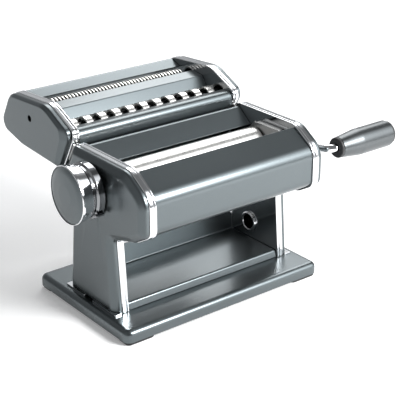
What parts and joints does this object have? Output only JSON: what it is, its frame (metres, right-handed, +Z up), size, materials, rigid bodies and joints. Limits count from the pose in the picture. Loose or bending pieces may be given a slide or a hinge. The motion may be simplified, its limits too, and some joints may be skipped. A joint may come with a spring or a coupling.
{
  "type": "pasta roller machine",
  "caption": "Hand-cranked sheet roller on a pressed tray, with a knob that sets the roller gap and a lift-off double strand cutter head.",
  "frame": {"origin": "bottom centre of the whole object's box, on the surface that the feet stand on", "axes": "+X along the rollers towards the crank, -Y towards the front where the sheet comes out, +Z up"},
  "size_m": [0.3016, 0.2234, 0.1716],
  "materials": {
    "grey_paint": "satin metallic slate grey paint on pressed steel",
    "chrome": "bright polished chromed steel",
    "roller_metal": "satin turned aluminium",
    "satin_steel": "plain satin steel",
    "dark_anodised": "satin grey anodised aluminium with turning lines",
    "foot_rubber": "matt black rubber",
    "black_plastic": "black moulded plastic",
    "bearing_brass": "plain turned brass"
  },
  "bodies": {
    "frame": {"base_tray": "grey_paint", "foot_front_left": "foot_rubber", "foot_front_right": "foot_rubber", "foot_rear_left": "foot_rubber", "foot_rear_right": "foot_rubber", "base_screw_1": "satin_steel", "base_screw_2": "satin_steel", "base_screw_3": "satin_steel", "base_screw_4": "satin_steel", "bridge_shelf": "grey_paint", "side_plate_left": "chrome", "side_plate_right": "chrome", "end_cover_left": "grey_paint", "end_cover_right": "grey_paint", "rear_bush_left": "bearing_brass", "rear_bush_right": "bearing_brass", "clamp_socket": "chrome", "front_cover": "grey_paint", "rear_cover": "grey_paint", "tie_rod_front": "satin_steel", "tie_rod_lower": "satin_steel", "scraper_front": "satin_steel", "scraper_rear": "satin_steel", "index_collar": "chrome", "cutter_rail_left": "satin_steel", "cutter_rail_right": "satin_steel"},
    "bearing_carriage": {"bearing_block_left": "bearing_brass", "bearing_block_right": "bearing_brass", "dough_guide_left": "satin_steel", "dough_guide_right": "satin_steel"},
    "front_roller": {"front_roller": "roller_metal", "front_gear": "satin_steel"},
    "rear_roller": {"rear_roller": "roller_metal", "rear_gear": "satin_steel"},
    "crank": {"crank_rod": "chrome", "grip_collar": "black_plastic", "grip_end_cap": "black_plastic"},
    "grip": {"grip_sleeve": "dark_anodised"},
    "gap_cam": {"gap_cam": "satin_steel", "knob_stem": "satin_steel", "knob_spring": "satin_steel"},
    "knob": {"knob_cap": "grey_paint", "knob_skirt": "chrome"},
    "cutter_head": {"cutter_plate_left": "chrome", "cutter_plate_right": "chrome", "cutter_end_cover_left": "grey_paint", "cutter_end_cover_right": "grey_paint", "cutter_front_rail": "grey_paint", "cutter_ridge": "grey_paint", "cutter_rear_wall": "grey_paint", "cutter_wide_comb": "satin_steel", "cutter_fine_comb": "satin_steel"},
    "wide_upper": {"wide_cutter_upper": "roller_metal", "wide_gear_upper": "satin_steel"},
    "wide_lower": {"wide_cutter_lower": "roller_metal", "wide_gear_lower": "satin_steel"},
    "fine_upper": {"fine_cutter_upper": "roller_metal", "fine_gear_upper": "satin_steel"},
    "fine_lower": {"fine_cutter_lower": "roller_metal", "fine_gear_lower": "satin_steel"}
  },
  "joints": [
    {"name": "crank_turn", "type": "hinge", "parent": "frame", "child": "rear_roller", "pos_m": [-0.0282, -0.01144, 0.10812], "axis": [1, 0, 0], "continuous": true},
    {"name": "crank_pull", "type": "slide", "parent": "rear_roller", "child": "crank", "axis": [1, 0, 0], "range_m": [0, 0.06]},
    {"name": "grip_spin", "type": "hinge", "parent": "crank", "child": "grip", "pos_m": [-0.0282, -0.09975, 0.1233], "axis": [1, 0, 0], "continuous": true},
    {"name": "knob_turn", "type": "hinge", "parent": "frame", "child": "gap_cam", "pos_m": [-0.0282, -0.03685, 0.12], "axis": [1, 0, 0], "range_deg": [-180, 144]},
    {"name": "knob_pull", "type": "slide", "parent": "gap_cam", "child": "knob", "axis": [-1, 0, 0], "range_m": [0, 0.004], "stiffness_N_per_m": 1500, "springref_m": -0.002},
    {"name": "gap_slide", "type": "slide", "parent": "frame", "child": "bearing_carriage", "axis": [0, 0.9063, -0.4226], "range_m": [-0.00234, 0.00187]},
    {"name": "front_roller_spin", "type": "hinge", "parent": "bearing_carriage", "child": "front_roller", "pos_m": [-0.0282, -0.03905, 0.121], "axis": [1, 0, 0], "continuous": true},
    {"name": "cutter_lift", "type": "slide", "parent": "frame", "child": "cutter_head", "axis": [0, -0.5145, 0.8575], "range_m": [0, 0.06]},
    {"name": "wide_upper_spin", "type": "hinge", "parent": "cutter_head", "child": "wide_upper", "pos_m": [-0.0282, 0.02895, 0.146], "axis": [1, 0, 0], "continuous": true},
    {"name": "wide_lower_spin", "type": "hinge", "parent": "cutter_head", "child": "wide_lower", "pos_m": [-0.0282, 0.04355, 0.13464], "axis": [1, 0, 0], "continuous": true},
    {"name": "fine_upper_spin", "type": "hinge", "parent": "cutter_head", "child": "fine_upper", "pos_m": [-0.0282, 0.07495, 0.1515], "axis": [1, 0, 0], "continuous": true},
    {"name": "fine_lower_spin", "type": "hinge", "parent": "cutter_head", "child": "fine_lower", "pos_m": [-0.0282, 0.08955, 0.14014], "axis": [1, 0, 0], "continuous": true}
  ],
  "couplings": [
    {"joint": "front_roller_spin", "follows": "crank_turn", "ratio": -1},
    {"joint": "gap_slide", "follows": "knob_turn", "m_per_rad": 0.00074272},
    {"joint": "wide_lower_spin", "follows": "wide_upper_spin", "ratio": -1},
    {"joint": "fine_lower_spin", "follows": "fine_upper_spin", "ratio": -1}
  ]
}
